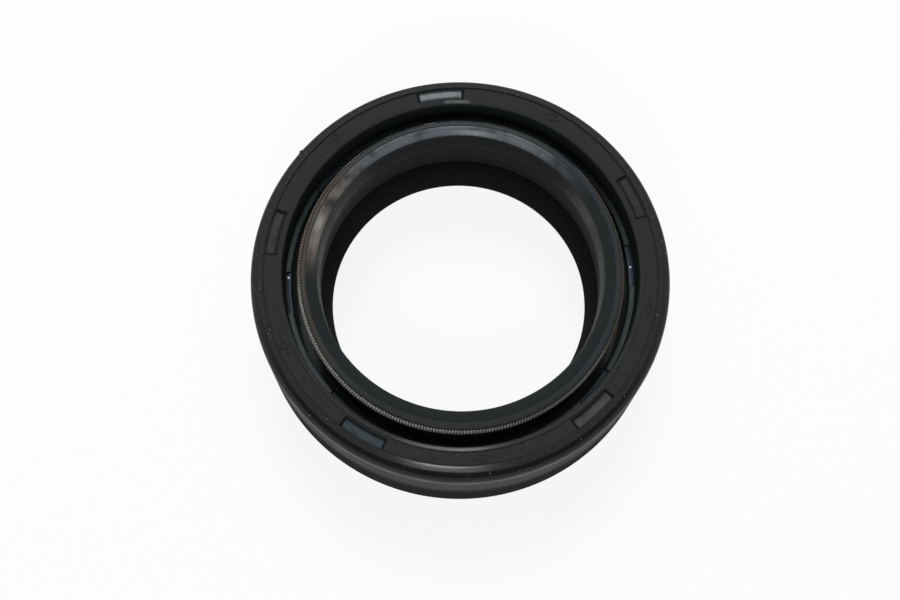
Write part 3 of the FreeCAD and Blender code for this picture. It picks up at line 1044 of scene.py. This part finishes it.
def makeMarks(material):
    # Raised rings and dots: the radius of each ring plus the line times the cosine, and the rise
    # times the sine, swept round the ring's own centre. A dot is a ring whose middle closes.
    size = markSizes
    face = sealWidth / mm - rubberSizes["faceStep"]
    across = np.radians(np.linspace(180, 0, size["acrossPoints"]))[:, None]
    around = np.radians(np.arange(size["aroundPoints"]) * 360 / size["aroundPoints"])[None, :]
    z = face - size["sink"] + (size["rise"] + size["sink"]) * np.sin(across) * np.ones_like(around)
    index = np.arange(z.size).reshape(z.shape)
    index = np.hstack([index, index[:, :1]])
    dots = [(-size["spacing"], size["dotRadius"]), (size["spacing"], size["dotRadius"])]
    points, faces = [], []
    for place in size["places"]:
        for shift, ring in [(0, size["ringRadius"])] + dots:
            turn = math.radians(place + shift)
            reach = np.maximum(ring + size["line"] * np.cos(across), 0)
            x = size["radius"] * math.cos(turn) + reach * np.cos(around)
            y = size["radius"] * math.sin(turn) + reach * np.sin(around)
            faces.append(gridQuads(index + z.size * len(faces)))
            points.append(np.stack([x, y, z], axis=-1))
    piece = addPiece("faceMarks", np.vstack(points) * mm, np.vstack(faces))
    addAttribute(piece, "sheen", np.full(len(piece.data.vertices), size["sheen"]))
    piece.data.materials.append(material)
    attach(piece, "root")
    print("face marks:", len(piece.data.polygons), "faces")


# Floor, lamps and white background

stageSet = {
    "floorSize": 1.2,
    "floorGap": 0.02 * mm,
    "floor": (0.86, 0.86, 0.85),
    "floorRoughness": 0.8,
    "whiteShare": 0.88,
    "worldStrength": 0.2,
    "lamps": {                  # degrees north of the zenith and east of it, distance, size and radiance
        "keyLamp": (34, -4, 0.45, 0.19, 13.5),
        "fillLamp": (-46, -4, 0.5, 0.11, 20.0),
    },
}


def cameraRays(tree):
    # The largest of three outputs: one where the ray comes from the camera, a gloss or a clear body.
    path = tree.nodes.new("ShaderNodeLightPath")
    total = None
    for name in ("Is Camera Ray", "Is Glossy Ray", "Is Transmission Ray"):
        if total is None:
            total = path.outputs[name]
            continue
        node = tree.nodes.new("ShaderNodeMath")
        node.operation = "MAXIMUM"
        tree.links.new(total, node.inputs[0])
        tree.links.new(path.outputs[name], node.inputs[1])
        total = node.outputs[0]
    return total


def mixSurfaces(tree, factor, first, second, output):
    # The first surface times one less the factor, plus the second times the factor.
    mix = tree.nodes.new("ShaderNodeMixShader")
    for number, socket in enumerate((factor, first.outputs[0], second.outputs[0])):
        tree.links.new(socket, mix.inputs[number])
    tree.links.new(mix.outputs[0], tree.nodes[output].inputs["Surface"])


def floorMaterial():
    # Matte, plus white light times the share that the camera sees, so that the floor keeps a shadow.
    material = bpy.data.materials.new("paleFloor")
    material.use_nodes = True
    tree = material.node_tree
    surface = tree.nodes["Principled BSDF"]
    surface.inputs["Base Color"].default_value = (*stageSet["floor"], 1)
    surface.inputs["Roughness"].default_value = stageSet["floorRoughness"]
    surface.inputs["Specular IOR Level"].default_value = 0
    glow = tree.nodes.new("ShaderNodeEmission")
    share = tree.nodes.new("ShaderNodeMath")
    share.operation = "MULTIPLY"
    share.inputs[1].default_value = stageSet["whiteShare"]
    tree.links.new(cameraRays(tree), share.inputs[0])
    mixSurfaces(tree, share.outputs[0], surface, glow, "Material Output")
    return material


def makeFloor():
    # A square that reaches half its size each way from the axis, just below the back face.
    half = stageSet["floorSize"] / 2
    corners = np.array([[-half, -half, 0], [half, -half, 0], [half, half, 0], [-half, half, 0]])
    corners = corners - (0, 0, stageSet["floorGap"])
    mesh = bpy.data.meshes.new("paleFloor")
    mesh.from_pydata(corners, [], [(0, 1, 2, 3)])
    floor = bpy.data.objects.new("paleFloor", mesh)
    bpy.context.scene.collection.objects.link(floor)
    mesh.materials.append(floorMaterial())


def makeLamp(name, north, east, distance, size, radiance):
    # A square lamp's power is its radiance times pi times its area. It lies on the line from the face's
    # middle whose slopes are the tangents of its angles, and looks back along it.
    lamp = bpy.data.objects.new(name, bpy.data.lights.new(name, "AREA"))
    bpy.context.scene.collection.objects.link(lamp)
    lamp.data.energy = radiance * math.pi * size ** 2
    lamp.data.size = size
    away = Vector((math.tan(math.radians(east)), math.tan(math.radians(north)), 1)).normalized()
    lamp.location = away * distance + Vector((0, 0, sealWidth))
    lamp.rotation_euler = away.to_track_quat("Z", "Y").to_euler()


def makeWorld():
    # White where cameraRays says so, and elsewhere a weak light from all sides.
    world = bpy.data.worlds.new("softStudio")
    world.use_nodes = True
    bpy.context.scene.world = world
    tree = world.node_tree
    plain = tree.nodes["Background"]
    plain.inputs["Color"].default_value = (1, 1, 1, 1)
    plain.inputs["Strength"].default_value = stageSet["worldStrength"]
    white = tree.nodes.new("ShaderNodeBackground")
    white.inputs["Color"].default_value = (1, 1, 1, 1)
    mixSurfaces(tree, cameraRays(tree), plain, white, "World Output")


makeCamera()
print("camera set")
makeFloor()
makeWorld()
for name, values in stageSet["lamps"].items():
    makeLamp(name, *values)
bpy.context.scene.view_settings.view_transform = "Standard"
print("stage and lamps set")
rubber = rubberMaterial()
makeRubber(rubber)
makeMarks(rubber)
makeSpring(springMaterial())
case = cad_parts["steel_case"]
case.data.materials.clear()
case.data.materials.append(caseMaterial())
print("pieces made")
